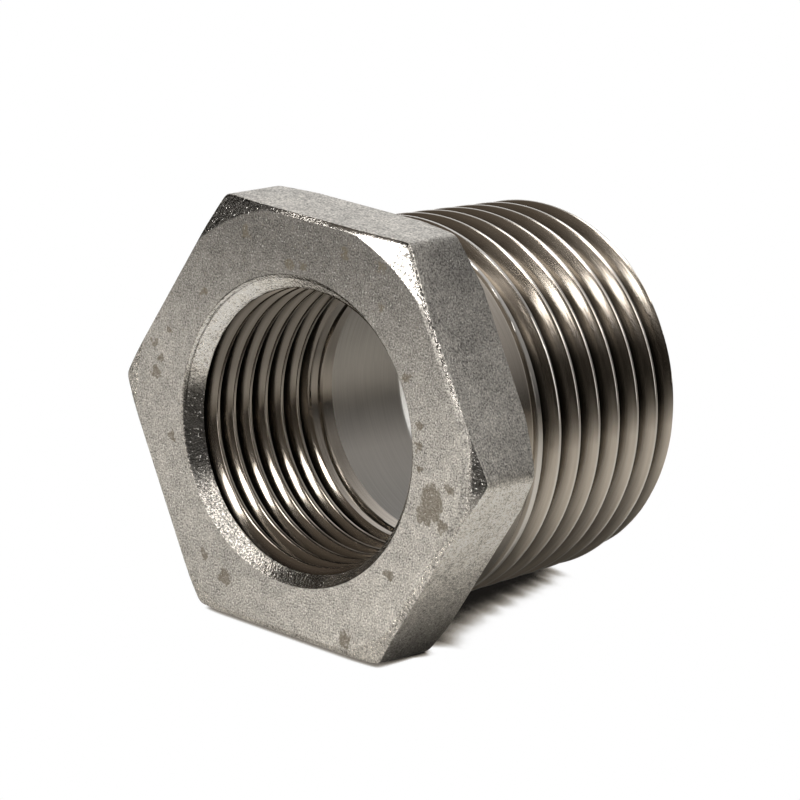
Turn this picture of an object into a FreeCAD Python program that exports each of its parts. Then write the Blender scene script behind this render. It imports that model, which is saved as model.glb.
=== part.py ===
"""Hex reducing bushing: a male taper thread outside, a smaller female taper thread inside.

One turned piece. The common axis of the threads is Y: the hexagon's front face, with the
mouth of the female thread, looks along -Y, and the male thread ends at +Y. One flat of
the hexagon looks down, along -Z. The origin is on the thread axis, in the front face.
The thread walls are the cones through the threads' crests.
"""
import FreeCAD, Part
import math
import os

import Sketcher

# Driving dimensions in mm, or degrees where the name says angle, each with what it is
DIMENSIONS = [
    ("across_flats", 23.0, "hexagon across its flats"),
    ("hex_length", 4.6, "hexagon along the axis"),
    ("hex_shift_x", 0.27, "hexagon's centre from the thread axis, sideways"),
    ("hex_shift_z", 0.25, "hexagon's centre from the thread axis, upwards"),
    ("face_inset", 0.3, "broken edge of the front face, width at each flat"),
    ("face_edge_depth", 0.08, "broken edge of the front face, along the axis"),
    ("front_corner_width", 1.38, "front corner chamfer, width at a corner"),
    ("front_angle", 12.0, "front corner chamfer, angle to the face"),
    ("back_corner_width", 0.88, "back corner chamfer, width at a corner"),
    ("back_angle", 30.0, "back corner chamfer, angle to the face"),
    ("collar_diameter", 21.6, "smooth collar behind the hexagon"),
    ("collar_length", 2.3, "collar along the axis, to the relief's edge"),
    ("relief_length", 0.8, "V-shaped relief between collar and thread"),
    ("relief_depth", 0.75, "relief below the thread's crests"),
    ("male_diameter", 21.5, "male thread across its crests at the relief"),
    ("male_length", 11.8, "male thread from the relief to the end face"),
    ("taper", 0.0625, "both threads, change of diameter for each mm of length"),
    ("end_chamfer", 0.3, "lead chamfer at the male thread's end"),
    ("countersink_diameter", 17.0, "countersink in the front face"),
    ("countersink_angle", 45.0, "countersink, angle to the axis"),
    ("female_diameter", 15.2, "female thread across its crests at the countersink"),
    ("female_length", 9.8, "female thread from the countersink inwards"),
    ("bore_diameter", 15.6, "plain bore beyond the female thread"),
    ("exit_diameter", 18.4, "plain bore's chamfer where it meets the end face"),
    ("exit_angle", 27.0, "plain bore's chamfer, angle to the axis"),
]


def makeSheet(doc):
    """Writes the driving dimensions, one row each, and names every value cell."""
    sheet = doc.addObject("Spreadsheet::Sheet", "sizes")
    for row, (name, value, meaning) in enumerate(DIMENSIONS, start=1):
        sheet.set(f"A{row}", name)
        sheet.set(f"B{row}", str(value))
        sheet.set(f"C{row}", meaning)
        sheet.setAlias(f"B{row}", name)
    doc.recompute()
    return sheet


def originPlane(body, role):
    """Finds one of the body's own origin planes."""
    return next(f for f in body.Origin.OriginFeatures if f.Role == role)


def addSketch(body, name, role, forward=None):
    """Starts a sketch on an origin plane, moved along the thread axis if forward is given."""
    sketch = body.newObject("Sketcher::SketchObject", name)
    sketch.AttachmentSupport = (originPlane(body, role), "")
    sketch.MapMode = "FlatFace"
    if forward:
        # the XZ plane's normal is -Y, so a step towards +Y is a negative one
        sketch.setExpression("AttachmentOffset.Base.z", f"-({forward})")
    return sketch


def bind(sketch, constraint, expression):
    """Adds a dimension to a sketch and ties it to the sheet."""
    index = sketch.addConstraint(constraint)
    sketch.setExpression(f"Constraints[{index}]", expression)


def hexagonSketch(body, name, flats, shiftX, shiftZ, forward=None):
    """A hexagon with a flat at the bottom, drawn on its corner circle."""
    sketch = addSketch(body, name, "XZ_Plane", forward)
    radius = float(sketch.evalExpression(flats)) / math.sqrt(3)
    centre = FreeCAD.Vector(
        float(sketch.evalExpression(shiftX)), float(sketch.evalExpression(shiftZ)), 0
    )
    corners = [
        centre + FreeCAD.Vector(math.cos(a), math.sin(a), 0) * radius
        for a in (math.radians(60 * i) for i in range(6))
    ]
    for i in range(6):
        sketch.addGeometry(Part.LineSegment(corners[i], corners[(i + 1) % 6]), False)
    circle = sketch.addGeometry(
        Part.Circle(centre, FreeCAD.Vector(0, 0, 1), radius), True
    )
    for i in range(6):
        following = (i + 1) % 6
        sketch.addConstraint(Sketcher.Constraint("Coincident", i, 2, following, 1))
        sketch.addConstraint(Sketcher.Constraint("PointOnObject", i, 1, circle))
        if following:
            sketch.addConstraint(Sketcher.Constraint("Equal", i, following))
    sketch.addConstraint(Sketcher.Constraint("Horizontal", 1))
    bind(sketch, Sketcher.Constraint("Radius", circle, radius), f"{flats} / sqrt(3)")
    bind(sketch, Sketcher.Constraint("DistanceX", -1, 1, circle, 3, centre.x), shiftX)
    bind(sketch, Sketcher.Constraint("DistanceY", -1, 1, circle, 3, centre.y), shiftZ)
    return sketch


def profileSketch(body, name, points):
    """A closed half section: each point is (place along the axis, radius) as expressions."""
    sketch = addSketch(body, name, "YZ_Plane")
    drawn = [
        FreeCAD.Vector(*(float(sketch.evalExpression(e)) for e in point), 0)
        for point in points
    ]
    count = len(points)
    for i in range(count):
        sketch.addGeometry(Part.LineSegment(drawn[i], drawn[(i + 1) % count]), False)
    for i in range(count):
        sketch.addConstraint(Sketcher.Constraint("Coincident", i, 2, (i + 1) % count, 1))
    for i, (along, radius) in enumerate(points):
        bind(sketch, Sketcher.Constraint("DistanceX", -1, 1, i, 1, drawn[i].x), along)
        bind(sketch, Sketcher.Constraint("DistanceY", -1, 1, i, 1, drawn[i].y), radius)
    return sketch


def turn(body, kind, name, profile):
    """Revolves a half section about the thread axis, adding or cutting."""
    feature = body.newObject(f"PartDesign::{kind}", name)
    feature.Profile = profile
    feature.ReferenceAxis = (profile, ["H_Axis"])
    feature.Angle = 360
    return feature


def addHexagon(body):
    """The hexagon, with the edges of its front face broken a little."""
    front = hexagonSketch(
        body,
        "FaceHexagon",
        "(sizes.across_flats - 2 * sizes.face_inset)",
        "0",
        "sizes.hex_shift_z",
    )
    full = hexagonSketch(
        body,
        "FullHexagon",
        "sizes.across_flats",
        "sizes.hex_shift_x",
        "sizes.hex_shift_z",
        "sizes.face_edge_depth",
    )
    edge = body.newObject("PartDesign::AdditiveLoft", "BrokenEdge")
    edge.Profile = front
    edge.Sections = [full]
    edge.Ruled = True
    pad = body.newObject("PartDesign::Pad", "Hexagon")
    pad.Profile = full
    pad.Reversed = True
    pad.setExpression("Length", "sizes.hex_length - sizes.face_edge_depth")
    return edge, pad


def addCornerChamfers(body):
    """Turned chamfers that cut the hexagon's corners at the front and at the back."""
    corner = "sizes.across_flats / sqrt(3)"
    beyond = f"({corner} + sizes.hex_shift_x + sizes.hex_shift_z)"
    frontStart = f"({corner} - sizes.front_corner_width)"
    backStart = f"({corner} - sizes.back_corner_width)"
    frontRise = f"({beyond} - {frontStart}) * tan(sizes.front_angle * 1deg)"
    backRise = f"({beyond} - {backStart}) * tan(sizes.back_angle * 1deg)"
    front = profileSketch(
        body,
        "FrontChamferSection",
        [("0", frontStart), (frontRise, beyond), ("0", beyond)],
    )
    back = profileSketch(
        body,
        "BackChamferSection",
        [
            ("sizes.hex_length", backStart),
            ("sizes.hex_length", beyond),
            (f"sizes.hex_length - {backRise}", beyond),
        ],
    )
    return [
        turn(body, "Groove", "FrontChamfer", front),
        turn(body, "Groove", "BackChamfer", back),
    ]


def addShank(body):
    """Collar, relief and the tapered outside of the male thread, on a solid core."""
    collarEnd = "sizes.hex_length + sizes.collar_length"
    threadStart = f"{collarEnd} + sizes.relief_length"
    endFace = f"{threadStart} + sizes.male_length"
    startRadius = "sizes.male_diameter / 2"
    endRadius = f"{startRadius} - sizes.male_length * sizes.taper / 2"
    reliefRadius = f"{startRadius} - sizes.relief_depth"
    chamferStart = f"{endRadius} + sizes.end_chamfer * sizes.taper / 2"
    section = profileSketch(
        body,
        "ShankSection",
        [
            ("sizes.hex_length / 2", "0"),
            ("sizes.hex_length / 2", "sizes.collar_diameter / 2"),
            (collarEnd, "sizes.collar_diameter / 2"),
            (f"{collarEnd} + sizes.relief_length / 2", reliefRadius),
            (threadStart, startRadius),
            (f"{endFace} - sizes.end_chamfer", chamferStart),
            (endFace, f"{endRadius} - sizes.end_chamfer"),
            (endFace, "0"),
        ],
    )
    return turn(body, "Revolution", "Shank", section)


def addWaterway(body):
    """Countersink, tapered female wall, plain bore and its exit chamfer, cut right through."""
    endFace = (
        "sizes.hex_length + sizes.collar_length + sizes.relief_length"
        " + sizes.male_length"
    )
    sinkDepth = (
        "(sizes.countersink_diameter - sizes.female_diameter) / 2"
        " / tan(sizes.countersink_angle * 1deg)"
    )
    threadEnd = f"{sinkDepth} + sizes.female_length"
    lastRadius = "sizes.female_diameter / 2 - sizes.female_length * sizes.taper / 2"
    boreRadius = "sizes.bore_diameter / 2"
    exitDepth = (
        "(sizes.exit_diameter - sizes.bore_diameter) / 2"
        " / tan(sizes.exit_angle * 1deg)"
    )
    section = profileSketch(
        body,
        "WaterwaySection",
        [
            ("0", "0"),
            ("0", "sizes.countersink_diameter / 2"),
            (sinkDepth, "sizes.female_diameter / 2"),
            (threadEnd, lastRadius),
            (f"{threadEnd} + {boreRadius} - ({lastRadius})", boreRadius),
            (f"{endFace} - ({exitDepth})", boreRadius),
            (endFace, "sizes.exit_diameter / 2"),
            (endFace, "0"),
        ],
    )
    return turn(body, "Groove", "Waterway", section)


def volumes(doc, body):
    """The body's volume after each of its features, in order."""
    doc.recompute()
    found = []
    for feature in body.Group:
        if feature.isDerivedFrom("PartDesign::Feature"):
            found.append((feature, feature.Shape.Volume))
    return found


def checkFeatures(doc, body):
    """Stops if a feature failed, cut nothing or added nothing."""
    before = 0.0
    for feature, volume in volumes(doc, body):
        removes = feature.TypeId == "PartDesign::Groove"
        if removes == (volume > before) or abs(volume - before) < 1e-6:
            raise RuntimeError(f"{feature.Name} changed nothing")
        print(f"{feature.Name}: {volume:.1f} mm3")
        before = volume
    for item in doc.Objects:
        if "Invalid" in item.State or "Error" in item.State:
            raise RuntimeError(f"{item.Name} is {item.State}")
    if body.Shape.isNull() or not body.Shape.isValid() or len(body.Shape.Solids) != 1:
        raise RuntimeError(f"{body.Label} isn't one valid solid")


def main():
    doc = FreeCAD.newDocument("HexBushing")
    makeSheet(doc)
    body = doc.addObject("PartDesign::Body", "HexBushing")
    body.Label = "hex_bushing"
    addHexagon(body)
    addCornerChamfers(body)
    addShank(body)
    addWaterway(body)
    checkFeatures(doc, body)
    os.makedirs("parts", exist_ok=True)
    body.Shape.exportStep(f"parts/{body.Label}.step")
    box = body.Shape.optimalBoundingBox()
    print(f"{body.Label}: {box.XLength:.2f} x {box.YLength:.2f} x {box.ZLength:.2f} mm")


main()
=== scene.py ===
import math

import bmesh
import bpy
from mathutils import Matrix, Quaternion, Vector


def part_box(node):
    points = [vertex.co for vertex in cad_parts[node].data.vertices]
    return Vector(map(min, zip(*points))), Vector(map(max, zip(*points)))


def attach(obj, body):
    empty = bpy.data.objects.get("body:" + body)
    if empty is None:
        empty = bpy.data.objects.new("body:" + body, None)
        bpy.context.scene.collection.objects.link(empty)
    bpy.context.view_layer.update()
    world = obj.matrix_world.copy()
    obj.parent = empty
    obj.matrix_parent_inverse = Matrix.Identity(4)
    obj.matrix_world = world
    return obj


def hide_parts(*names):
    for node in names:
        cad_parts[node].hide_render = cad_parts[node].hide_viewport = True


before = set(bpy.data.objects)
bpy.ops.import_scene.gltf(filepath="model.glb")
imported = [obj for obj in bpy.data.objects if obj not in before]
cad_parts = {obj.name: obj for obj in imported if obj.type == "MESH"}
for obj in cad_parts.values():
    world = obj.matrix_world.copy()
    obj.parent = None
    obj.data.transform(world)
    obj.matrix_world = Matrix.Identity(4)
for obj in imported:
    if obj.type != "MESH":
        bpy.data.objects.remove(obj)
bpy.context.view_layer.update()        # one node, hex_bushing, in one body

mm = 0.001
low, high = (Vector(c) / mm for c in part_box("hex_bushing"))
print("frame loaded")

# Sizes of the head and the turned walls in mm. The thread axis is Y.
bushing = {
    "columns": 216,             # points around every ring
    "cornerCrowding": 0.82,     # how much the columns gather at the hexagon's corners
    "hexLength": 4.6,
    "faceInset": 0.3,           # broken edge along the front of each flat
    "faceEdgeDepth": 0.08,
    "frontCircle": 11.9,        # radius where the front corner chamfer begins
    "frontAngle": 12.0,
    "backCircle": 12.4,
    "backAngle": 30.0,
    "edgeRounding": 0.07,       # reach of the rounding on both sides of a turned or cut edge
    "roundingShare": 0.4,       # of a band, which the rounding of an edge takes up at most
    "joinWithin": 0.0005,
    "sharpAbove": 28.0,         # edges bent by more degrees are shaded sharp
    "cornerSharpness": 90.0,    # larger is a sharper edge between two flats
    "collarRadius": 10.78,
    "collarEnd": 6.9,
    "reliefBottom": 7.15,
    "exitRadius": 9.2,
    "exitDepth": 2.75,
    "boreRadius": 7.8,
    "boreStart": 11.2,
    "mouthRadius": 8.48,
}
flat = (high.z - low.z) / 2                     # centre to flat
hexCentre = ((low.x + high.x) / 2, (low.z + high.z) / 2)
endFace = high.y
exitSlope = (bushing["exitRadius"] - bushing["boreRadius"]) / bushing["exitDepth"]

# Both threads are cut by one tree. Lengths in mm; phase is where a crest crosses the +X side.
maleThread = {
    "side": 1.0,
    "pitch": 1.68,
    "phase": 7.75,
    "from": 7.15,
    "to": endFace,
    "crestRadius": 10.62,       # at crestPlace, the relief's far edge
    "crestPlace": 7.7,
    "taper": 1 / 32,
    "depth": 1.12,
    "crestFlat": 0.1,           # shares of the pitch
    "rootFlat": 0.12,
    "runOutFrom": 9.6,          # the groove gets shallower from here towards "from"
    "runOutSlope": -0.08,
    "coneA": (7.15, 10.0, 2.2),     # place, radius there, slope: the relief's far wall
    "coneB": (endFace, 10.0, -1.0),     # lead chamfer
    "core": (endFace, 9.4, 0.51),       # no groove is deeper than this: the wall to the exit
}
femaleThread = {
    "side": -1.0,
    "pitch": 1.208,
    "phase": 0.15,
    "from": 0.05,
    "to": 10.7,
    "crestRadius": 7.6,
    "crestPlace": 0.9,
    "taper": 1 / 32,
    "depth": 0.7,
    "crestFlat": 0.2,
    "rootFlat": 0.12,
    "runOutFrom": 8.6,
    "runOutSlope": 0.45,
    "coneA": (0.0, 8.48, -1.0),
    "coneB": (10.7, 7.28, -0.001),
    "core": (0.0, 12.0, 0.0),
}
crestRounding = 0.006           # larger is rounder
# rows of points along one pitch, closest together at a crest
rowShares = (
    -0.12, -0.09, -0.06, -0.03, 0.0, 0.03, 0.06, 0.09, 0.12,
    0.2, 0.29, 0.37, 0.44, 0.5, 0.56, 0.63, 0.71, 0.8,
)


def columnAngles():
    # evenly spaced angles, pushed towards the six corners at 0, 60, ... degrees
    count, crowd = bushing["columns"], bushing["cornerCrowding"]
    for i in range(count):
        a = 2 * math.pi * i / count
        yield a - crowd * math.sin(6 * a) / 6


angles = list(columnAngles())


def turnedRing(y, radius):
    return [Vector((radius * math.cos(a), y, radius * math.sin(a))) for a in angles]


def hexPoint(a, centre, inset, limit=None):
    # a point on the hexagon in direction a from its centre, its corners slightly rounded
    power = bushing["cornerSharpness"]
    total = 0.0
    for i in range(6):
        c = math.cos(a - math.radians(30 + 60 * i)) / (flat - inset)
        if c > 0:
            total += c ** power
    reach = total ** (-1 / power)
    x = centre[0] + reach * math.cos(a)
    z = centre[1] + reach * math.sin(a)
    away = math.hypot(x, z)
    if limit and away > limit:
        x, z = x * limit / away, z * limit / away
    return x, z


def coneDepth(end, x, z):
    # how far the corner chamfer at the "front" or "back" lies in from that end of the hexagon
    beyond = math.hypot(x, z) - bushing[end + "Circle"]
    return max(beyond, 0) * math.tan(math.radians(bushing[end + "Angle"]))


def headRings():
    # from the countersink's rim over the face, the flats and the back to the collar
    length = bushing["hexLength"]
    faceCentre = (0, hexCentre[1])
    face, inset, full, back, behind = [], [], [], [], []
    for a in angles:
        x, z = hexPoint(a, faceCentre, bushing["faceInset"], bushing["frontCircle"])
        face.append(Vector((x, 0, z)))
        x, z = hexPoint(a, faceCentre, bushing["faceInset"])
        inset.append(Vector((x, coneDepth("front", x, z), z)))
        x, z = hexPoint(a, hexCentre, 0)
        full.append(Vector((x, max(bushing["faceEdgeDepth"], coneDepth("front", x, z)), z)))
        back.append(Vector((x, length - coneDepth("back", x, z), z)))
        x, z = hexPoint(a, hexCentre, 0, bushing["backCircle"])
        behind.append(Vector((x, length, z)))
    return [turnedRing(0, bushing["mouthRadius"]), face, inset, full, back, behind]


def threadRows(t):
    # rows that follow the helix, so that crests and roots keep crisp edges
    first = math.floor((t["from"] - t["phase"]) / t["pitch"]) - 1
    last = math.ceil((t["to"] - t["phase"]) / t["pitch"]) + 2
    rows = []
    for turn in range(first, last):
        for share in rowShares:
            rows.append(t["phase"] + (turn + share) * t["pitch"])
    return rows


def wallRadius(t, y):
    return t["crestRadius"] - (y - t["crestPlace"]) * t["taper"]


def threadWall(t):
    # the plain wall before the thread is cut: rows past an end lie on that end's ring
    rings = []
    for start in threadRows(t):
        ring = []
        for a in angles:
            y = start - t["pitch"] * (a / (2 * math.pi))
            y = min(max(y, t["from"]), t["to"])
            r = wallRadius(t, y)
            ring.append(Vector((r * math.cos(a), y, r * math.sin(a))))
        rings.append(ring)
    return rings


class Shell:
    # collects points and faces, joining points that lie at the same place
    def __init__(self):
        self.points, self.known, self.faces, self.walls = [], {}, [], {}

    def point(self, place, wall):
        key = tuple(round(c, 5) for c in place)
        if key not in self.known:
            self.known[key] = len(self.points)
            self.points.append(place * mm)
        index = self.known[key]
        if wall:
            self.walls[index] = wall
        return index

    def face(self, corners):
        distinct = [c for i, c in enumerate(corners) if c != corners[i - 1]]
        if len(set(distinct)) > 2:
            self.faces.append(distinct)

    def band(self, rings, wall=0, rowsPerTurn=0):
        # joins each ring to the next; a sheared band meets itself rowsPerTurn rows earlier
        grid = [[self.point(p, wall) for p in ring] for ring in rings]
        columns = len(angles)
        for j in range(len(grid) - 1):
            for i in range(columns):
                k, drop = (i + 1, 0) if i + 1 < columns else (0, rowsPerTurn)
                if j >= drop:
                    near, far = grid[j], grid[j + 1]
                    self.face([near[i], grid[j - drop][k], grid[j + 1 - drop][k], far[i]])


def softened(rings):
    # rounds the edges along the inner rings of a band
    reach, share = bushing["edgeRounding"], bushing["roundingShare"]
    out = [rings[0]]
    for k in range(1, len(rings) - 1):
        before, middle, after = [], [], []
        for p, here, n in zip(rings[k - 1], rings[k], rings[k + 1]):
            back, ahead = p - here, n - here
            a = here + back * min(share, reach / max(back.length, 1e-6))
            b = here + ahead * min(share, reach / max(ahead.length, 1e-6))
            before.append(a)
            middle.append(here * 0.5 + (a + b) * 0.25)
            after.append(b)
        out += [before, middle, after]
    return out + [rings[-1]]


def bushingShell():
    shell = Shell()
    b = bushing
    collar = [
        turnedRing(b["hexLength"], b["collarRadius"]),
        turnedRing(b["collarEnd"], b["collarRadius"]),
        turnedRing(b["reliefBottom"], wallRadius(maleThread, b["reliefBottom"])),
    ]
    shell.band(softened(headRings() + collar))
    shell.band(threadWall(maleThread), 1, len(rowShares))
    waterway = [
        turnedRing(endFace, wallRadius(maleThread, endFace)),
        turnedRing(endFace, b["exitRadius"]),
        turnedRing(endFace - b["exitDepth"], b["boreRadius"]),
        turnedRing(b["boreStart"], b["boreRadius"]),
        turnedRing(femaleThread["to"], wallRadius(femaleThread, femaleThread["to"])),
    ]
    shell.band(softened(waterway))
    shell.band(threadWall(femaleThread), 2, len(rowShares))
    mouth = [
        turnedRing(femaleThread["from"], wallRadius(femaleThread, femaleThread["from"])),
        turnedRing(0, b["mouthRadius"]),
    ]
    shell.band(mouth)
    return shell


class Wire:
    # a socket of a node tree; arithmetic on it adds Math nodes
    def __init__(self, graph, socket):
        self.graph, self.socket = graph, socket

    def math(self, operation, *others):
        values = {i + 1: other for i, other in enumerate(others)}
        return self.graph.add("ShaderNodeMath", {"operation": operation}, {0: self, **values})

    def __add__(self, other):
        return self.math("ADD", other)

    def __mul__(self, other):
        return self.math("MULTIPLY", other)

    def __sub__(self, other):
        return self.math("SUBTRACT", other)

    def __truediv__(self, other):
        return self.math("DIVIDE", other)

    def __rsub__(self, other):
        return (self * -1.0) + other

    __radd__, __rmul__ = __add__, __mul__

    def least(self, other):
        return self.math("MINIMUM", other)

    def most(self, other):
        return self.math("MAXIMUM", other)

    def size(self):
        return self.math("ABSOLUTE")

    def ramp(self, start, end, low=0.0, high=1.0):
        # runs from low to high while this value goes from start to end
        values = {"Value": self, "From Min": start, "From Max": end, "To Min": low, "To Max": high}
        return self.graph.add("ShaderNodeMapRange", {"clamp": True}, values)

    def fall(self, start, end):
        # the same, from 1 down to 0
        return self.ramp(start, end, 1.0, 0.0)


class Graph:
    # adds nodes to a tree: type, settings, then the values or links of its sockets
    def __init__(self, tree):
        self.tree = tree

    def add(self, kind, settings=None, values=None, output=0):
        node = self.tree.nodes.new(kind)
        for name, setting in (settings or {}).items():
            if name == "stops":
                self.setStops(node.color_ramp, setting)
            else:
                setattr(node, name, setting)
        for name, value in (values or {}).items():
            self.feed(node.inputs[name], value)
        return Wire(self, node.outputs[output])

    def setStops(self, ramp, stops):
        while len(ramp.elements) < len(stops):
            ramp.elements.new(1.0)
        for element, (place, colour) in zip(ramp.elements, stops):
            element.position = place
            element.color = (*colour, 1)

    def feed(self, socket, value):
        if isinstance(value, Wire):
            self.tree.links.new(value.socket, socket)
        elif socket.type == "RGBA":
            socket.default_value = (*value[:3], 1)
        else:
            socket.default_value = value

    def blend(self, share, first, second):
        # from the first colour to the second as share goes from 0 to 1
        values = {0: share, 6: first, 7: second}
        return self.add("ShaderNodeMix", {"data_type": "RGBA"}, values, output=2)

    def tint(self, colour, strength):
        # a colour made lighter or darker by a wire
        values = {0: colour, "Scale": strength}
        return self.add("ShaderNodeVectorMath", {"operation": "SCALE"}, values)

    def noise(self, place, scale, detail=2.0, output="Fac"):
        values = {"Vector": place, "Scale": scale, "Detail": detail}
        return self.add("ShaderNodeTexNoise", values=values, output=output)

    def parts(self, vector):
        whole = self.add("ShaderNodeSeparateXYZ", values={0: vector})
        return whole, self.also(whole, 1), self.also(whole, 2)

    def also(self, wire, output):
        # another output of the node that a wire comes from
        return Wire(self, wire.socket.node.outputs[output])


threadInputs = (
    "Wall", "Side", "Pitch", "Phase", "Crest Radius", "Crest Place", "Taper", "Depth",
    "Crest Flat", "Root Flat", "Run Out From", "Run Out Slope",
    "Cone A Place", "Cone A Radius", "Cone A Slope",
    "Cone B Place", "Cone B Radius", "Cone B Slope",
    "Core Place", "Core Radius", "Core Slope",
)


def threadTree():
    # moves the points of one wall in or out to the section of a tapered right-hand thread
    tree = bpy.data.node_groups.new("cutThread", "GeometryNodeTree")
    sockets = tree.interface
    sockets.new_socket("Geometry", in_out="INPUT", socket_type="NodeSocketGeometry")
    for name in threadInputs:
        sockets.new_socket(name, in_out="INPUT", socket_type="NodeSocketFloat")
    sockets.new_socket("Material", in_out="INPUT", socket_type="NodeSocketMaterial")
    sockets.new_socket("Geometry", in_out="OUTPUT", socket_type="NodeSocketGeometry")
    g = Graph(tree)
    given = g.add("NodeGroupInput")
    size = {name: g.also(given, name) for name in threadInputs}
    x, y, z = g.parts(g.add("GeometryNodeInputPosition"))
    along = y / mm
    away = (x * x + z * z).math("SQRT") / mm
    turns = (along - size["Phase"]) / size["Pitch"] + z.math("ARCTAN2", x) / (2 * math.pi)
    # 0 on a crest, 1 in a root
    across = ((turns + 0.5).math("FRACT") - 0.5).size() * 2.0
    flank = (across - size["Crest Flat"]) / (1.0 - size["Crest Flat"] - size["Root Flat"])
    rounded = (flank + (flank * flank + crestRounding).math("SQRT")) * 0.5
    cut = rounded.least(1.0) * size["Depth"]
    lift = ((along - size["Run Out From"]) * size["Run Out Slope"]).most(0.0)
    crest = size["Crest Radius"] - (along - size["Crest Place"]) * size["Taper"]
    wall = crest * size["Side"] - (cut - lift).most(0.0)
    for cone in ("Cone A", "Cone B"):
        rise = (along - size[cone + " Place"]) * size[cone + " Slope"]
        wall = wall.least((size[cone + " Radius"] + rise) * size["Side"])
    rise = (along - size["Core Place"]) * size["Core Slope"]
    wall = wall.most((size["Core Radius"] + rise) * size["Side"])
    grow = wall * size["Side"] / away
    moved = g.add("ShaderNodeCombineXYZ", values={0: x * grow, 1: y, 2: z * grow})
    marked = g.add("GeometryNodeInputNamedAttribute", {"data_type": "FLOAT"}, {"Name": "wall"})
    chosen = g.add(
        "FunctionNodeCompare", {"data_type": "FLOAT", "operation": "EQUAL"},
        {0: marked, 1: size["Wall"], "Epsilon": 0.1},
    )
    placed = g.add(
        "GeometryNodeSetPosition", values={
            "Geometry": g.also(given, "Geometry"), "Selection": chosen, "Position": moved,
        },
    )
    real = g.add("GeometryNodeRealizeInstances", values={"Geometry": placed})
    coated = g.add(
        "GeometryNodeSetMaterial", values={"Geometry": real, "Material": g.also(given, "Material")}
    )
    g.feed(g.tree.nodes.new("NodeGroupOutput").inputs["Geometry"], coated)
    return tree


def cutThread(piece, tree, wall, t, material):
    # one modifier for one thread, its inputs set by their identifiers
    modifier = piece.modifiers.new("thread", "NODES")
    modifier.node_group = tree
    values = {
        "Wall": wall, "Side": t["side"], "Pitch": t["pitch"], "Phase": t["phase"],
        "Crest Radius": t["crestRadius"], "Crest Place": t["crestPlace"],
        "Taper": t["taper"], "Depth": t["depth"],
        "Crest Flat": t["crestFlat"], "Root Flat": t["rootFlat"],
        "Run Out From": t["runOutFrom"], "Run Out Slope": t["runOutSlope"],
        "Material": material,
    }
    for cone, key in (("Cone A", "coneA"), ("Cone B", "coneB"), ("Core", "core")):
        for part, number in zip(("Place", "Radius", "Slope"), t[key]):
            values[f"{cone} {part}"] = number
    for item in tree.interface.items_tree:
        if item.in_out == "INPUT" and item.name in values:
            modifier[item.identifier] = values[item.name]


def makeBushing(material):
    shell = bushingShell()
    mesh = bpy.data.meshes.new("bushing")
    mesh.from_pydata(shell.points, [], shell.faces)
    marks = mesh.attributes.new("wall", "FLOAT", "POINT")
    for index, wall in shell.walls.items():
        marks.data[index].value = wall
    piece = bpy.data.objects.new("bushing", mesh)
    bpy.context.collection.objects.link(piece)
    tree = threadTree()
    cutThread(piece, tree, 1.0, maleThread, material)
    cutThread(piece, tree, 2.0, femaleThread, material)
    view = piece.evaluated_get(bpy.context.evaluated_depsgraph_get())
    cut = bpy.data.meshes.new_from_object(view)
    piece.modifiers.clear()
    piece.data = cut
    finishMesh(cut)
    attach(piece, "root")
    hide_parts("hex_bushing")


def finishMesh(mesh):
    form = bmesh.new()
    form.from_mesh(mesh)
    bmesh.ops.remove_doubles(form, verts=form.verts, dist=bushing["joinWithin"] * mm)
    bmesh.ops.recalc_face_normals(form, faces=form.faces)
    openEdges = sum(1 for e in form.edges if len(e.link_faces) != 2)
    print("bushing:", len(form.faces), "faces,", openEdges, "open edges")
    form.to_mesh(mesh)
    form.free()
    mesh.polygons.foreach_set("use_smooth", [True] * len(mesh.polygons))
    mesh.set_sharp_from_angle(angle=math.radians(bushing["sharpAbove"]))


# The finish, and the light and shade painted into its colour. Colours are linear, lengths in mm on
# the object.
finish = {
    "blasted": (0.62, 0.6, 0.565),
    "turned": (0.55, 0.5, 0.435),
    "turnedLight": (0.64, 0.585, 0.52),
    "bore": (0.45, 0.43, 0.4),
    # painted highlight along the thread crests
    "crest": (0.78, 0.76, 0.73),
    "paintedGlint": (1.0, 1.0, 0.98),      # painted glints on the blasted steel, and the exit chamfer painted white as a painted highlight
    "pitShade": (0.012, 0.011, 0.01),
    "speck": (0.26, 0.235, 0.195),
    "stain": (0.21, 0.185, 0.145),
    "blastedRoughness": 0.42,
    "turnedRoughness": 0.2,
    "boreRougher": 0.2,
    "cloudsRougher": 0.12,
    "stainRougher": 0.1,
    "insideSmoother": 0.04,
    "chamferSmoother": 0.2,
    "darkPaintedShade": 0.86,              # painted shade on two corners and two stretches of the countersink
    "innerPaintedShade": 0.25,         # painted shade on the rougher inner part of the right edge
    # painted shade in the thread roots
    "rootPaintedShade": 0.85,
    # painted light on the countersink's upper left
    "sinkPaintedLight": 1.1,
    # painted shade on the countersink's bottom
    "sinkLowPaintedShade": 0.7,
    # painted shade on one side of the male thread, on the collar, over all of the inside, and more
    # on one side of it
    "threadPaintedShade": 0.55,
    "collarPaintedShade": 0.5,
    "insidePaintedDim": 0.12,
    "insidePaintedShade": 0.52,
    "speckCover": 0.6,
    "stainCover": 0.9,
    # painted glints
    "paintedSparkleCover": 0.45,
    "paintedSparkleOnShade": 0.22,          # added in the corners with painted shade
    # painted shade in pits of the bright corner and the countersink
    "pitShadeCover": 0.85,
    "sinkPitShade": 0.3,
    "boreRings": 0.35,
    "fineBump": 0.05,               # heights of the grain
    "gritBump": 0.05,
    "ringBump": 0.003,
    "whiteLessFine": 0.8,           # the white corner's grain is flatter by these shares
    "whiteLessGrit": 0.9,
}
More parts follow.
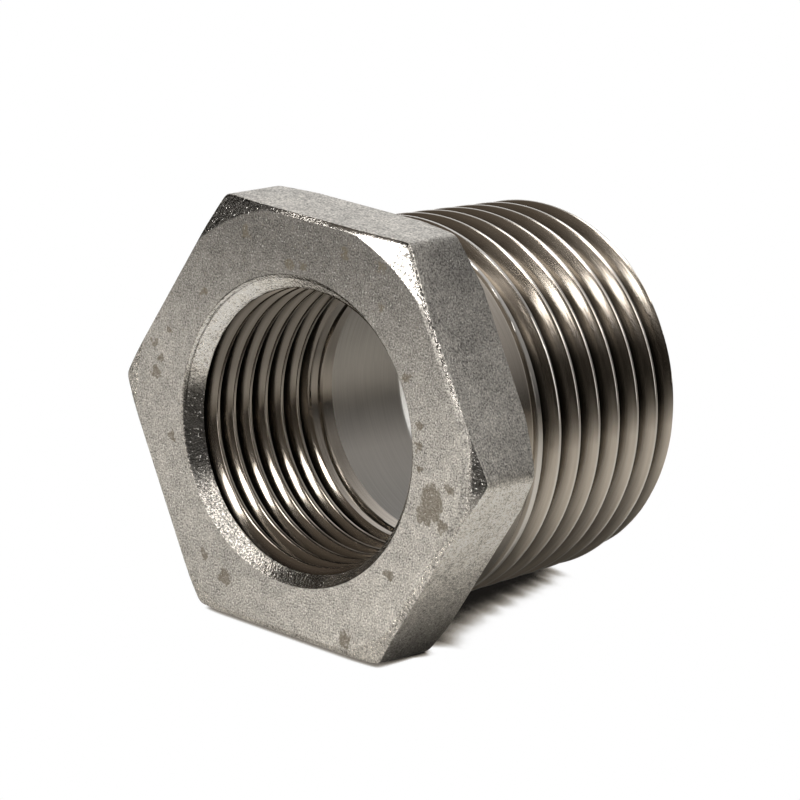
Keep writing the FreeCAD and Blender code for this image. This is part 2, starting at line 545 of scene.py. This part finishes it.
# Patterns: scale for each mm, and detail
patterns = {
    "fine": (10.0, 4.0),
    "grit": (5.5, 2.0),
    "clouds": (0.55, 5.0),
    "blotches": (1.7, 6.0),
    "specks": (5.0, 3.0),
    "paintedSparkle": (9.0, 1.0),
    "pits": (8.0, 1.0),
    "fray": (2.2, 4.0),
    "worn": (6.0, 3.0),
    "rings": (1.0, 3.0),
}
ringScales = (9.0, 1.6)     # of the tooling marks: for each mm out or along, for each radian
# Between which values of a pattern its tone changes, then the tones there, else 0 and 1
tones = {
    "clouds": (0.3, 0.7, 0.86, 1.06),
    "fine": (-0.2, 0.2, -0.6, 0.6),
    "blotches": (0.35, 0.65, -0.16, 0.09),
    "specks": (0.6, 0.7),
    "paintedSparkle": (0.66, 0.7),
    "pits": (0.5, 0.55),
    "worn": (0.3, 0.6, 0.45, 1.0),
    "rings": (-0.2, 0.2),
}
# How the light falls off: from where to where in mm, and the levels there
lightLevels = {
    "face": (2.0, 10.0, 0.78, 0.36),        # upwards
    "faceRight": (8.0, 16.0, 0.0, 0.19),    # added, to the right and downwards
    "rightFlat": (2.0, 10.0, 1.0, 0.66),
    "lowFlat": (-10.5, -4.0, 0.4, 1.6),
    "boreLow": (-7.2, -4.5, 0.6, 1.45),
    "boreHigh": (-4.0, 4.0, 0.0, 0.95),     # taken away
}
# Between which places in mm one surface goes over to the next, along the axis if not said
fades = {
    "mouth": (-0.08, -0.02),        # out from the mouth's radius
    "sinkEnd": (0.86, 0.94),
    "hexBack": (-0.02, 0.04),       # from the hexagon's back
    "chamferDepth": (-0.015, -0.005),       # in front of the chamfers' surface
    "chamferStart": (0.0, 0.008),
    "face": (0.004, 0.01),
    "exitCone": (0.05, 0.1),        # out from the exit chamfer
    "exitStart": (-0.15, 0.05),     # from its inner end
    "bore": (10.6, 10.8),
    "innerEdge": (0.02, 0.045),
    "innerCorner": (0.06, 0.1),
    "darkCorner": (0.08, 0.14),
    "threadSpan": (1.5, 1.6),       # off the line through a thread's crests
    "crest": (0.02, 0.06),          # down from that line
    "threadPaintedShade": (7.0, 7.4),
    "collarPaintedShade": (7.5, 7.9),
}
threadEndFade = 0.2
rootFade = (0.2, 0.75)      # where the painted shade in the roots fades in: from this depth in mm to this share of the thread's depth
# Sides of the bushing: the middle in degrees from +X towards +Z, then the cosines between
# which the side fades in
sides = {
    "whiteCorner": (65, 0.92, 0.96),
    "pittedCorner": (46, 0.94, 0.97),
    "leftCorner": (120, 0.9, 0.97),
    "rightCorner": (10, 0.95, 0.985),
    "rightCornerInside": (4, 0.96, 0.98),
    "rightEdge": (15, 0.8, 0.86),
    "rightFlat": (30, 0.862, 0.872),
    "lowFlat": (-30, 0.862, 0.872),
    "sinkLeft": (192, 0.9, 0.97),
    "sinkLow": (275, 0.96, 0.99),
    "sinkPitted": (228, 0.8, 0.95),
    "sinkLight": (140, 0.7, 0.95),
    "threadPaintedShade": (17, 0.95, 0.99),
    "collarPaintedShade": (-38, 0.75, 0.93),
    "insidePaintedShade": (150, 0.75, 0.95),
}
# Stains on the front face: across, up, radius
stains = (
    (9.95, -1.2, 0.75), (9.5, -2.2, 0.62), (10.15, -2.0, 0.5), (10.8, -2.5, 0.36),
    (11.1, -0.45, 0.34), (8.75, 2.45, 0.24), (8.8, 1.35, 0.24), (8.9, 0.1, 0.2),
    (-10.25, 1.8, 0.24), (-10.5, 0.9, 0.36), (-10.8, 2.5, 0.26), (-4.6, 9.95, 0.34),
    (-7.3, 6.1, 0.3), (4.6, -10.3, 0.42), (-6.1, -8.3, 0.3), (-4.4, -9.25, 0.46),
    (7.35, -6.05, 0.34), (-1.2, 8.95, 0.36), (-0.2, 8.95, 0.26), (7.6, 4.7, 0.26),
    (-9.75, 3.45, 0.2), (-6.3, 5.2, 0.24), (-9.1, -2.4, 0.3), (5.5, 8.0, 0.22),
    (5.4, 10.1, 0.28), (2.7, 10.3, 0.28),
)
stainEdge = (0.85, 1.1)     # shares of the radius between which a stain ends
frayWidth = 1.1             # how far noise moves a stain's outline to and fro


class Surfaces:
    # where each surface of the bushing lies, as wires that are 1 on it and 0 elsewhere
    def __init__(self, g):
        self.g = g
        place = g.add("ShaderNodeTexCoord", output="Object")
        self.spot = g.tint(place, 1 / mm)
        self.x, self.y, self.z = x, y, z = g.parts(self.spot)
        self.radius = radius = (x * x + z * z).math("SQRT")
        self.inside = (radius - bushing["mouthRadius"]).fall(*fades["mouth"])
        self.sink = self.inside * y.fall(*fades["sinkEnd"])
        behind = (y - bushing["hexLength"]).ramp(*fades["hexBack"])
        self.turned = self.inside.most(behind) - self.sink
        cone = (radius - bushing["frontCircle"]) * math.tan(math.radians(bushing["frontAngle"]))
        depth = cone.most(bushing["faceEdgeDepth"]) - y
        chamfer = depth.ramp(*fades["chamferDepth"]) * y.ramp(*fades["chamferStart"])
        self.chamfer = chamfer * (1 - self.inside)
        self.face = y.fall(*fades["face"]) * (1 - self.inside)
        exitLine = (y - endFace) * exitSlope + bushing["exitRadius"]
        exitStart = (y - (endFace - bushing["exitDepth"])).ramp(*fades["exitStart"])
        self.exitCone = (radius - exitLine).fall(*fades["exitCone"]) * exitStart
        self.bore = (self.inside * y.ramp(*fades["bore"])).most(self.exitCone)
        flats = (1 - self.face) * (1 - self.chamfer)
        self.rightFlat = flats * self.facing("rightFlat")
        self.lowFlat = flats * self.facing("lowFlat")
        self.white = self.chamfer * self.facing("whiteCorner")
        self.inner, self.shiny = self.rightEdge()
        self.paintedDark = self.paintedDarkParts()
        near, depth = self.thread(maleThread)
        self.crest = near * depth.fall(*fades["crest"])
        self.root = self.rootOf(maleThread).most(self.rootOf(femaleThread))

    def facing(self, side):
        middle, start, full = sides[side]
        a = math.radians(middle)
        return ((self.x * math.cos(a) + self.z * math.sin(a)) / self.radius).ramp(start, full)

    def thread(self, t):
        # 1 near a thread's wall, and the depth under the line through its crests
        depth = (wallRadius(t, self.y) - self.radius) * t["side"]
        start, end = t["from"], t["to"]
        within = self.y.ramp(start, start + threadEndFade) * self.y.fall(end - threadEndFade, end)
        return within * depth.size().fall(*fades["threadSpan"]), depth

    # how far a point lies down in a root, for the painted shade there
    def rootOf(self, t):
        near, depth = self.thread(t)
        start, share = rootFade
        return near * depth.ramp(start, t["depth"] * share)

    def rightEdge(self):
        # the inner part of the right edge and of its corner is rougher than the outer part, and
        # carries painted shade
        inner = self.facing("rightEdge") * self.y.fall(*fades["innerEdge"])
        corner = self.facing("rightCornerInside") * self.y.fall(*fades["innerCorner"])
        inner = inner.most(corner) * self.chamfer
        return inner, self.chamfer - inner

    def paintedDarkParts(self):
        # painted shade: two corners and two stretches of the countersink are painted almost black
        right = self.facing("rightCorner") * self.y.ramp(*fades["darkCorner"])
        paintedDark = self.chamfer * self.facing("leftCorner").most(right)
        bottom = self.facing("sinkLow") * finish["sinkLowPaintedShade"]
        return paintedDark.most(self.sink * self.facing("sinkLeft").most(bottom))

    def pattern(self, name, output="Fac"):
        return self.g.noise(self.spot, *patterns[name], output)

    def toned(self, name, output="Fac"):
        return self.pattern(name, output).ramp(*tones[name])


def stainCover(g, s):
    # 1 in a stain, 0 outside; noise frays the outlines and wears the stains thin
    push = {0: s.pattern("fray", "Color"), 1: (frayWidth,) * 3, 2: (-frayWidth / 2,) * 3}
    shift = g.add("ShaderNodeVectorMath", {"operation": "MULTIPLY_ADD"}, push)
    frayed = g.add("ShaderNodeVectorMath", {"operation": "ADD"}, {0: s.spot, 1: shift})
    flatPlace = g.add(
        "ShaderNodeVectorMath", {"operation": "MULTIPLY"}, {0: frayed, 1: (1, 0, 1)}
    )
    cover = None
    for x, z, r in stains:
        away = g.add(
            "ShaderNodeVectorMath", {"operation": "DISTANCE"},
            {0: flatPlace, 1: (x, 0, z)}, output="Value",
        )
        patch = away.fall(*(r * share for share in stainEdge))
        cover = patch if cover is None else cover.most(patch)
    return cover * s.face * s.toned("worn")


def lightFall(s):
    # the light falls off towards the top of the face and of the right flat
    onFace = s.z.ramp(*lightLevels["face"]) + (s.x - s.z).ramp(*lightLevels["faceRight"])
    shade = onFace * s.face + s.z.ramp(*lightLevels["rightFlat"]) * s.rightFlat
    shade = shade + s.z.ramp(*lightLevels["lowFlat"]) * s.lowFlat
    shade = shade + (1 - s.face - s.rightFlat - s.lowFlat)
    # painted light on the countersink's upper left
    return shade + s.sink * s.facing("sinkLight") * finish["sinkPaintedLight"]


def blastedColour(g, s, fine, clouds, stain):
    # the hexagon with its chamfers and the countersink
    tone = clouds.ramp(*tones["clouds"]) + fine.ramp(*tones["fine"])
    tone = (tone + s.toned("blotches")) * lightFall(s)
    # painted shade on two corners, the countersink and the inner part of the right edge
    tone = tone * (1 - s.paintedDark * finish["darkPaintedShade"]) * (1 - s.inner * finish["innerPaintedShade"])
    colour = g.tint(finish["blasted"], tone)
    specks = s.toned("specks") * s.face * finish["speckCover"]
    colour = g.blend(specks, colour, finish["speck"])
    colour = g.blend(stain * finish["stainCover"], colour, finish["stain"])
    # painted glints, more on the corners with painted shade
    paintedSparkle = s.toned("paintedSparkle") * (finish["paintedSparkleCover"] + s.paintedDark * finish["paintedSparkleOnShade"])
    colour = g.blend(paintedSparkle, colour, finish["paintedGlint"])
    # painted shade in pits of the bright corner and of the countersink
    pitted = s.sink * s.facing("sinkPitted") * finish["sinkPitShade"]
    pitted = pitted.most(s.shiny * s.facing("pittedCorner")) * finish["pitShadeCover"]
    return g.blend(s.toned("pits", "Color") * pitted, colour, finish["pitShade"])


def turnedColour(g, s, rings):
    # collar, threads, bore and end
    # painted shade on one side of the male thread, on the collar and inside
    onThread = s.facing("threadPaintedShade") * s.y.ramp(*fades["threadPaintedShade"]) * finish["threadPaintedShade"]
    onCollar = s.facing("collarPaintedShade") * s.y.fall(*fades["collarPaintedShade"]) * finish["collarPaintedShade"]
    within = s.facing("insidePaintedShade") * finish["insidePaintedShade"] + finish["insidePaintedDim"]
    paintedShade = (onThread + onCollar) * (1 - s.inside) + within * s.inside
    colour = g.blend(rings.ramp(*tones["rings"]), finish["turned"], finish["turnedLight"])
    colour = g.tint(colour, 1 - paintedShade)
    # painted light and shade in the bore, brightest a little below the middle
    level = s.z.ramp(*lightLevels["boreLow"]) - s.z.ramp(*lightLevels["boreHigh"])
    boreTone = g.tint(finish["bore"], level + rings * finish["boreRings"])
    colour = g.blend(s.bore, colour, boreTone)
    # the exit chamfer painted white: a painted highlight for the white seen through the bore
    colour = g.blend(s.exitCone, colour, finish["paintedGlint"])
    # painted shade in the thread roots
    colour = g.tint(colour, 1 - s.root * (1 - s.exitCone) * finish["rootPaintedShade"])
    # painted highlight along the crests
    return g.blend(s.crest, colour, finish["crest"])


def toolingMarks(g, s):
    # noise drawn out round the axis
    outAndAlong, around = ringScales
    turn = s.z.math("ARCTAN2", s.x) * around
    place = {0: s.radius * outAndAlong, 1: s.y * outAndAlong, 2: turn}
    return g.noise(g.add("ShaderNodeCombineXYZ", values=place), *patterns["rings"])


def steel():
    material = bpy.data.materials.new("brightSteel")
    material.use_nodes = True
    material.node_tree.nodes.clear()
    g = Graph(material.node_tree)
    s = Surfaces(g)
    fine = s.pattern("fine") - 0.5
    grit = s.pattern("grit") - 0.5
    clouds = s.pattern("clouds")
    rings = toolingMarks(g, s) - 0.5
    stain = stainCover(g, s)
    blasted = blastedColour(g, s, fine, clouds, stain)
    colour = g.blend(s.turned, blasted, turnedColour(g, s, rings))
    roughness = (
        s.turned * finish["turnedRoughness"] + (1 - s.turned) * finish["blastedRoughness"]
        + (clouds - 0.5) * finish["cloudsRougher"] + stain * finish["stainRougher"]
        + s.bore * finish["boreRougher"] - s.inside * s.turned * finish["insideSmoother"]
        - (s.shiny + s.sink) * finish["chamferSmoother"]
    )
    fineBump = fine * finish["fineBump"] * (1 - s.white * finish["whiteLessFine"])
    gritBump = grit * finish["gritBump"] * (1 - s.white * finish["whiteLessGrit"])
    height = (
        fineBump * (1 - s.turned) + gritBump * s.shiny.most(s.sink)
        + rings * finish["ringBump"] * s.turned * (1 - s.bore)
    )
    bump = g.add("ShaderNodeBump", values={"Strength": 1.0, "Distance": mm, "Height": height})
    surface = g.add("ShaderNodeBsdfPrincipled", values={
        "Base Color": colour, "Metallic": 1.0, "Roughness": roughness, "Normal": bump,
    })
    g.feed(g.tree.nodes.new("ShaderNodeOutputMaterial").inputs["Surface"], surface)
    return material


makeBushing(steel())
print("bushing made")

# The bushing lies on its hexagon's rear edge and on the thread's end, so the floor is tilted
# under it. Lengths in mm.
floorPlan = {
    "restFront": (bushing["hexLength"], low.z),     # along the axis, height
    "restBack": (endFace - 0.3, -10.39),
    "size": 3000.0,
    "tone": (0.82, 0.8, 0.76),
    "toneFar": (0.3, 0.28, 0.25),
    "paintedPool": (30.0, 120.0),          # radii between which the mirrored floor's colour goes dimmer: a painted pool of light
    # painted light: floor brighter than white, glowing for the metal to mirror
    "glowBackLeft": (3.0, 3.0, 3.0),
    "backFrom": (50.0, 100.0),      # where that tone begins, to the back and to the left
    "leftFrom": (-5.0, -20.0),
    "reach": (0.5, 3.3, 2.0),       # of the shadow before and behind the hexagon, and at the end
    "headEdge": (3.0, 6.0),         # between these the reach goes from first to second
    "endPart": (9.0, 18.0),         # and between these from second to third
    "headLighter": 0.22,
    "shadow": (
        (0.0, (0.01, 0.009, 0.008)), (0.34, (0.01, 0.009, 0.008)), (0.5, (0.3, 0.27, 0.23)),
        (0.66, (1.0, 1.0, 1.0)),
    ),
}


def floorSheet():
    (y0, z0), (y1, z1) = floorPlan["restFront"], floorPlan["restBack"]
    slope = (z1 - z0) / (y1 - y0)
    half = floorPlan["size"] / 2
    corners = [
        Vector((x * half, y * half, z0 + (y * half - y0) * slope)) * mm
        for x, y in ((-1, -1), (1, -1), (1, 1), (-1, 1))
    ]
    mesh = bpy.data.meshes.new("floor")
    mesh.from_pydata(corners, [], [(0, 1, 2, 3)])
    return mesh


def mirroredFloor(g, place):
    # what the metal mirrors: a painted pool of light round the bushing, and behind it on the left
    # floor brighter than white, a painted glow
    across, along = (part / mm for part in g.parts(place)[:2])
    away = g.add("ShaderNodeVectorMath", {"operation": "LENGTH"}, {0: place}, output="Value") / mm
    tone = g.blend(away.ramp(*floorPlan["paintedPool"]), floorPlan["tone"], floorPlan["toneFar"])
    backLeft = along.ramp(*floorPlan["backFrom"]) * across.ramp(*floorPlan["leftFrom"])
    tone = g.blend(backLeft, tone, floorPlan["glowBackLeft"])
    return along, g.add("ShaderNodeBsdfDiffuse", values={"Color": tone})


def makeFloor():
    mesh = floorSheet()
    floor = bpy.data.objects.new("floor", mesh)
    bpy.context.collection.objects.link(floor)
    material = bpy.data.materials.new("paleFloor")
    material.use_nodes = True
    material.node_tree.nodes.clear()
    g = Graph(material.node_tree)
    place = g.add("ShaderNodeTexCoord", output="Object")
    along, lit = mirroredFloor(g, place)
    # the camera sees white, and the shadow only where the floor lies close under the part
    under = along.ramp(*floorPlan["headEdge"])
    first, middle, last = floorPlan["reach"]
    reach = under.ramp(0.0, 1.0, first, middle)
    reach = (reach - along.ramp(*floorPlan["endPart"], 0.0, middle - last)) * mm
    close = g.add("ShaderNodeAmbientOcclusion", {"samples": 24}, {"Distance": reach}, output=1)
    lighter = close + (1 - under) * floorPlan["headLighter"]
    shade = g.add("ShaderNodeValToRGB", {"stops": floorPlan["shadow"]}, {0: lighter})
    white = g.add("ShaderNodeEmission", values={"Color": shade, "Strength": 1.0})
    seen = g.add("ShaderNodeLightPath", output="Is Camera Ray")
    surface = g.add("ShaderNodeMixShader", values={0: seen, 1: lit, 2: white})
    g.feed(g.tree.nodes.new("ShaderNodeOutputMaterial").inputs["Surface"], surface)
    mesh.materials.append(material)


makeFloor()

cameraPlan = {
    "target": (-0.184, 8.461, 0.458),
    "azimuth": 41.425,
    "elevation": 14.859,
    "roll": 4.174,
    "distance": 265.618,
    "lens": 219.66,
    "sensor": 36.0,
    "clip": (0.01, 10.0),       # in m
}


def makeCamera():
    az, el = math.radians(cameraPlan["azimuth"]), math.radians(cameraPlan["elevation"])
    away = Vector((math.sin(az) * math.cos(el), -math.cos(az) * math.cos(el), math.sin(el)))
    target = Vector(cameraPlan["target"])
    data = bpy.data.cameras.new("camera")
    data.lens = cameraPlan["lens"]
    data.sensor_width = cameraPlan["sensor"]
    data.clip_start, data.clip_end = cameraPlan["clip"]
    camera = bpy.data.objects.new("camera", data)
    camera.location = (target + away * cameraPlan["distance"]) * mm
    look = (-away).to_track_quat("-Z", "Y")
    roll = Quaternion((0, 0, 1), math.radians(cameraPlan["roll"]))
    camera.rotation_mode = "QUATERNION"
    camera.rotation_quaternion = look @ roll
    bpy.context.collection.objects.link(camera)
    bpy.context.scene.camera = camera


makeCamera()

# Soft boxes. Places are directions from the object, lengths in mm.
lamps = {
    "overhead": {"from": (0.05, -0.9, 0.4), "away": 500.0, "size": (130.0, 100.0), "level": 10.0},
    "high": {"from": (0.06, -0.56, 0.82), "away": 500.0, "size": (150.0, 100.0), "level": 9.0},
    "left": {"from": (-0.468, -0.883, 0.05), "away": 500.0, "size": (130.0, 130.0), "level": 12.0},
    "top": {"from": (0.0, 0.0, 1.0), "away": 600.0, "size": (400.0, 400.0), "level": 3.0},
    "side": {"from": (0.72, -0.1, 0.66), "away": 400.0, "size": (120.0, 120.0), "level": 2.5},
}
lampColour = (1.0, 0.97, 0.93)


def makeLamps():
    for name, plan in lamps.items():
        wide, tall = (side * mm for side in plan["size"])
        data = bpy.data.lights.new(name, "AREA")
        data.shape = "RECTANGLE"
        data.size, data.size_y = wide, tall
        data.energy = plan["level"] * math.pi * wide * tall
        data.color = lampColour
        lamp = bpy.data.objects.new(name, data)
        away = Vector(plan["from"]).normalized()
        lamp.location = away * plan["away"] * mm
        lamp.rotation_mode = "QUATERNION"
        lamp.rotation_quaternion = away.to_track_quat("Z", "Y")
        lamp.visible_camera = False
        bpy.context.collection.objects.link(lamp)


makeLamps()

# The studio: white to the camera, and to the metal a dim room with a bright rim at the side.
# The pairs are the parts of a direction between which one tone goes over to the next.
studio = {
    "white": (1.0, 1.0, 1.0),
    "dimLow": (0.03, 0.025, 0.02),
    "dimHigh": (0.12, 0.1, 0.08),
    "frontRise": (0.0, 0.7),
    "backLeft": (0.82, 0.81, 0.8),
    "backRight": (0.23, 0.22, 0.21),
    "backRightRise": (0.08, 0.4, 0.15, 1.0),
    "leftToRight": (-0.5, 0.5),
    "frontToBack": (0.0, 0.4),
    "rim": (1.8, 1.75, 1.7),        # straight up and down the sides, seen in the crests
    "rimFront": (-0.45, -0.3),
    "rimBack": (-0.15, 0.0),
    "rimLeft": (-0.3, -0.1),
    "softLevel": 0.1,
}


def makeStudio():
    world = bpy.data.worlds.new("studio")
    world.use_nodes = True
    world.node_tree.nodes.clear()
    g = Graph(world.node_tree)
    across, along, up = g.parts(g.add("ShaderNodeTexCoord", output="Generated"))
    front = g.blend(up.ramp(*studio["frontRise"]), studio["dimLow"], studio["dimHigh"])
    dim = g.tint(studio["backRight"], up.ramp(*studio["backRightRise"]))
    back = g.blend(across.ramp(*studio["leftToRight"]), studio["backLeft"], dim)
    mirrored = g.blend(along.ramp(*studio["frontToBack"]), front, back)
    rim = along.ramp(*studio["rimFront"]) * along.fall(*studio["rimBack"])
    rim = rim * across.ramp(*studio["rimLeft"])
    mirrored = g.blend(rim, mirrored, studio["rim"])
    seen = g.add("ShaderNodeLightPath", output="Is Camera Ray")
    glossy = g.also(seen, "Is Glossy Ray")
    through = g.also(seen, "Is Transmission Ray")
    soft = (studio["softLevel"],) * 3
    colour = g.blend(glossy, soft, mirrored)
    colour = g.blend(seen.most(through), colour, studio["white"])
    light = g.add("ShaderNodeBackground", values={"Color": colour, "Strength": 1.0})
    g.feed(g.tree.nodes.new("ShaderNodeOutputWorld").inputs["Surface"], light)
    bpy.context.scene.world = world


makeStudio()
bpy.context.scene.view_settings.view_transform = "Standard"
